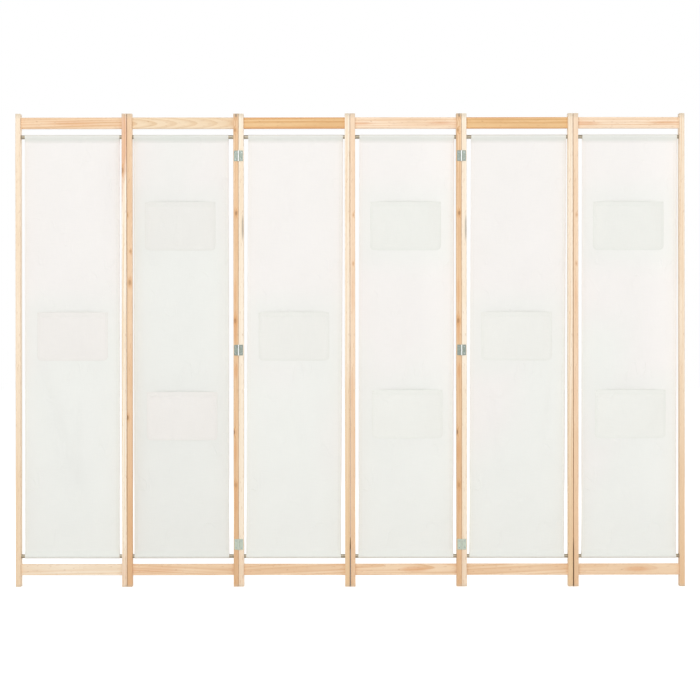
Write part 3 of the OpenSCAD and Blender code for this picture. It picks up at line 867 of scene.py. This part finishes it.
def sew_pocket(stitches, pocket):
    """The stitches of a pocket's sides, foot and mouth, and the bars across the ends of its mouth."""
    def front(p):
        return pocket.front(p.x, p.y)

    def behind(p):
        x, z = pocket.x + p.x, pocket.z + p.y
        return Vector((x, pocket.infill.ripple(x, z) + CLOTH / 2, z))

    for inset in SEAM_ROWS:
        stitches.row(outline(pocket, inset), front)
        stitches.row(outline(pocket, inset), behind, True)
    hem, ends = pocket.high - MOUTH_ROW, pocket.half - 1 * MM
    stitches.row(between((-ends, hem), (ends, hem)), front)
    for x in (-1, 1):
        for k in range(5):
            up = pocket.high - (2 + 1.1 * k) * MM
            a, b = x * (pocket.half - 1.5 * MM), x * (pocket.half - 8.5 * MM)
            stitches.row(between((a, up), (b, up), 4), front)


def thread_cotton():
    tree = new_material("sewing_thread")
    at = tree.own_coordinates()
    x, y, z = tree.split(at)
    twist = tree.math("SINE", tree.times(tree.math("ADD", x, z), 2 * math.pi / (0.5 * MM)))
    colour = tree.mix(tree.span(twist, -1.0, 1.0), srgb("DFDED8"), srgb("EBEAE5"))
    tree.bump(twist, 0.02 * MM)
    return tree.finish(Base_Color=colour, Roughness=tree.span(twist, -1.0, 1.0, 0.7, 0.6))


THREAD = thread_cotton()

# Each cloth: its sideways lean from top to foot in mm, how much cooler it is, how much painted light
# brightens its left and its right side, and its creases as (ends, height in mm, width, how much painted
# shade)
CLOTHS = {
    1: (-1.0, 0.0, (0.0, 0.0), ((((-0.115, 0.79), (0.03, 0.30)), 3.4, 0.020, 0.022),
                                (((0.02, 0.68), (0.024, 0.36)), 1.8, 0.012, 0.012),
                                (((0.13, 1.60), (0.15, 1.25)), -2.0, 0.016, 0.014))),
    2: (2.0, 0.38, (-0.03, -0.015), ((((-0.16, 1.55), (-0.155, 0.2)), 1.0, 0.012, 0.012),
                                    (((0.145, 1.5), (0.15, 0.3)), 1.0, 0.012, 0.008))),
    3: (-10.0, 0.05, (0.0, 0.0), ((((-0.01, 0.70), (0.05, 0.45)), 1.2, 0.009, 0.006),
                                  (((-0.02, 1.45), (-0.015, 1.2)), 0.8, 0.008, 0.004))),
    4: (-6.0, 0.0, (0.0, 0.035), ((((0.005, 1.02), (0.0, 0.85)), 1.2, 0.010, 0.006),
                                  (((0.11, 1.45), (0.06, 1.0)), 0.7, 0.014, 0.0))),
    5: (-9.5, 0.0, (0.0, 0.01), ((((-0.10, 0.72), (-0.06, 0.40)), 1.2, 0.010, 0.008),
                                 (((0.13, 0.80), (0.10, 0.50)), 1.2, 0.010, 0.007))),
    6: (-5.5, 0.0, (0.01, 0.05), ((((0.03, 1.30), (0.05, 1.10)), 1.0, 0.009, 0.004),)),
}
# Each pocket from the foot up: how much cooler it is, how much painted light brightens it, and its upright
# creases
POCKETS = {
    1: ((0.0, -0.01, ((0.04, 0.5, 0.012),)),),
    2: ((0.1, -0.013, ((-0.04, -0.5, 0.008),)),
        (0.5, -0.043, ((-0.012, 1.0, 0.004), (0.012, -0.5, 0.008)))),
    3: ((0.7, -0.015, ((0.02, 0.4, 0.01),)),),
    4: ((0.9, 0.012, ()), (0.9, -0.018, ((0.02, 0.5, 0.008),))),
    5: ((0.75, 0.0, ((-0.03, 0.5, 0.01),)),),
    6: ((0.9, 0.02, ()), (0.9, -0.008, ())),
}
for i in PANELS:
    body = f"panel_{i}"
    points = own_points(f"{body}_pockets", i)
    foot, mouth = min(p.z for p in points), max(p.z for p in points)
    parts = [points] if len(POCKETS[i]) == 1 else [
        [p for p in points if (p.z > (foot + mouth) / 2) == above] for above in (False, True)]
    boxes = [extent(part) for part in parts]
    infill = Infill(i, boxes, *CLOTHS[i])
    cloth, length = infill_cloth(infill)
    cloth.data.materials.append(INFILL)
    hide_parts(f"{body}_fabric")
    stitches = Stitches()
    sew_infill(stitches, infill)
    pieces = [cloth]
    for k, box in enumerate(boxes):
        name = "" if len(boxes) == 1 else ("low_", "high_")[k]
        pocket = Pocket(infill, *box, i * 5.1 + k * 2.3, *POCKETS[i][k])
        patch = pocket_cloth(f"{body}_{name}pocket", pocket)
        patch.data.materials.append(POCKET)
        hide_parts(f"{body}_pockets")
        sew_pocket(stitches, pocket)
        pieces.append(patch)
    sewn = stitches.piece(f"{body}_stitching")
    sewn.data.materials.append(THREAD)
    pieces.append(sewn)
    for piece in pieces:
        piece.matrix_world = PLACES[i]
        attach(piece, body)


# Room and light

WHITE = (1, 1, 1, 1)
FLOOR = 40.0  # from the middle of the floor to its edges
FLOOR_GLOW = 0.52  # what the floor's own light adds where it is seen, up to white
STUDIO_LIGHT = 0.628  # of the world on the object. It is white itself where it is seen
floor_mesh = bpy.data.meshes.new("floor")
floor_mesh.from_pydata([(x * FLOOR, y * FLOOR, 0) for x, y in ((-1, -1), (1, -1), (1, 1), (-1, 1))],
                       [], [(0, 1, 2, 3)])
floor = bpy.data.objects.new("floor", floor_mesh)
scene.collection.objects.link(floor)
floor_tree = new_material("floor")
floor_mesh.materials.append(floor_tree.finish(
    Base_Color=srgb("E9E9E9"), Roughness=0.9, Specular_IOR_Level=0.0,
    Emission_Color=WHITE, Emission_Strength=floor_tree.times(floor_tree.seen(), FLOOR_GLOW)))
floor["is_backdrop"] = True

world = bpy.data.worlds.new("studio")
scene.world = world
studio = Tree(world, "Background")
studio.finish(Color=WHITE, Strength=STUDIO_LIGHT)
bright = studio.add("ShaderNodeBackground", {"Color": WHITE, "Strength": 1.0})
choose = studio.add("ShaderNodeMixShader", {
    0: studio.seen(), 1: studio.shader.outputs[0], 2: bright.outputs[0]})
studio.put(studio.nodes["World Output"].inputs["Surface"], choose.outputs[0])


def softbox(name, at, towards, size, power):
    """A rectangular lamp at a place, turned towards another. The power is in watts."""
    light = bpy.data.lights.new(name, "AREA")
    light.shape, light.size, light.size_y, light.energy = "RECTANGLE", *size, power
    ob = bpy.data.objects.new(name, light)
    ob.location = at
    ob.rotation_euler = (Vector(towards) - Vector(at)).to_track_quat("-Z", "Y").to_euler()
    scene.collection.objects.link(ob)


softbox("key", (-1.4, -5.6, 3.9), (0, 0, 1.0), (4.0, 2.5), 145)
softbox("fill", (3.5, -4.5, 1.8), (0, 0, 0.8), (3.0, 3.0), 32)
softbox("back", (1.6, 5.2, 3.2), (0, 0, 0.9), (4.0, 2.5), 70)

scene.view_settings.view_transform = "Standard"
[[list(corner) for corner in box] for box in (cad_box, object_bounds())]
